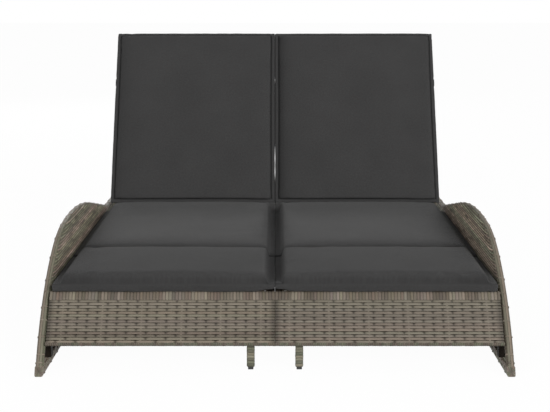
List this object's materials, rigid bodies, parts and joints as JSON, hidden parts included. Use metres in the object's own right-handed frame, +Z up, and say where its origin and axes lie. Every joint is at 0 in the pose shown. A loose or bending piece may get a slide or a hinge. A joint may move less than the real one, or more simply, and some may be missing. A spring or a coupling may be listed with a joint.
{
  "type": "double chaise lounger",
  "caption": "Two-person woven cane sun lounger with wave-shaped side frames, reclining cushioned backrests, prop stays on notched racks and a steel under-frame.",
  "frame": {"origin": "on the floor under the middle of the whole lounger", "axes": "+X across, to the right as seen from the foot end; +Y from the foot end to the head end; +Z up"},
  "size_m": [1.36, 2.03, 0.9034],
  "materials": {
    "cane": "satin",
    "black_steel": "satin",
    "zinc_steel": "satin",
    "rubber_pad": "matte",
    "black_plastic": "satin",
    "cushion_fabric": "matte",
    "elastic_band": "matte"
  },
  "bodies": {
    "base": {"seam_bolts": "zinc_steel", "left_side_tube": "cane", "left_runner": "cane", "left_side_panel": "cane", "left_side_posts": "black_steel", "left_runner_pads": "rubber_pad", "left_outer_rail": "black_steel", "left_inner_rail": "black_steel", "left_cross_rails": "black_steel", "left_rear_rail": "black_steel", "left_deck_frame": "cane", "left_deck_weave": "cane", "left_front_apron": "cane", "left_front_apron_frame": "black_steel", "left_rear_apron": "cane", "left_rear_apron_frame": "black_steel", "left_inner_legs": "cane", "left_leg_glides": "black_plastic", "left_hinge_brackets": "black_steel", "left_hinge_bolts": "zinc_steel", "left_notch_racks": "black_steel", "left_frame_bolts": "zinc_steel", "left_leg_cushion": "cushion_fabric", "left_seat_cushion": "cushion_fabric", "right_side_tube": "cane", "right_runner": "cane", "right_side_panel": "cane", "right_side_posts": "black_steel", "right_runner_pads": "rubber_pad", "right_outer_rail": "black_steel", "right_inner_rail": "black_steel", "right_cross_rails": "black_steel", "right_rear_rail": "black_steel", "right_deck_frame": "cane", "right_deck_weave": "cane", "right_front_apron": "cane", "right_front_apron_frame": "black_steel", "right_rear_apron": "cane", "right_rear_apron_frame": "black_steel", "right_inner_legs": "cane", "right_leg_glides": "black_plastic", "right_hinge_brackets": "black_steel", "right_hinge_bolts": "zinc_steel", "right_notch_racks": "black_steel", "right_frame_bolts": "zinc_steel", "right_leg_cushion": "cushion_fabric", "right_seat_cushion": "cushion_fabric"},
    "left_back": {"left_back_frame": "cane", "left_back_weave": "cane", "left_back_cushion": "cushion_fabric", "left_back_strap": "elastic_band", "left_prop_pins": "zinc_steel"},
    "right_back": {"right_back_frame": "cane", "right_back_weave": "cane", "right_back_cushion": "cushion_fabric", "right_back_strap": "elastic_band", "right_prop_pins": "zinc_steel"},
    "left_stay": {"left_prop": "black_steel"},
    "right_stay": {"right_prop": "black_steel"}
  },
  "joints": [
    {"name": "left_recline", "type": "hinge", "parent": "base", "child": "left_back", "pos_m": [-0.321, 0.245, 0.202], "axis": [1, 0, 0], "range_deg": [-62, 0]},
    {"name": "left_prop_fold", "type": "hinge", "parent": "left_back", "child": "left_stay", "pos_m": [-0.321, 0.36759, 0.43256], "axis": [1, 0, 0], "range_deg": [0, 124]},
    {"name": "right_recline", "type": "hinge", "parent": "base", "child": "right_back", "pos_m": [0.321, 0.245, 0.202], "axis": [1, 0, 0], "range_deg": [-62, 0]},
    {"name": "right_prop_fold", "type": "hinge", "parent": "right_back", "child": "right_stay", "pos_m": [0.321, 0.36759, 0.43256], "axis": [1, 0, 0], "range_deg": [0, 124]}
  ],
  "couplings": [
    {"joint": "left_prop_fold", "follows": "left_recline", "ratio": -2},
    {"joint": "right_prop_fold", "follows": "right_recline", "ratio": -2}
  ]
}
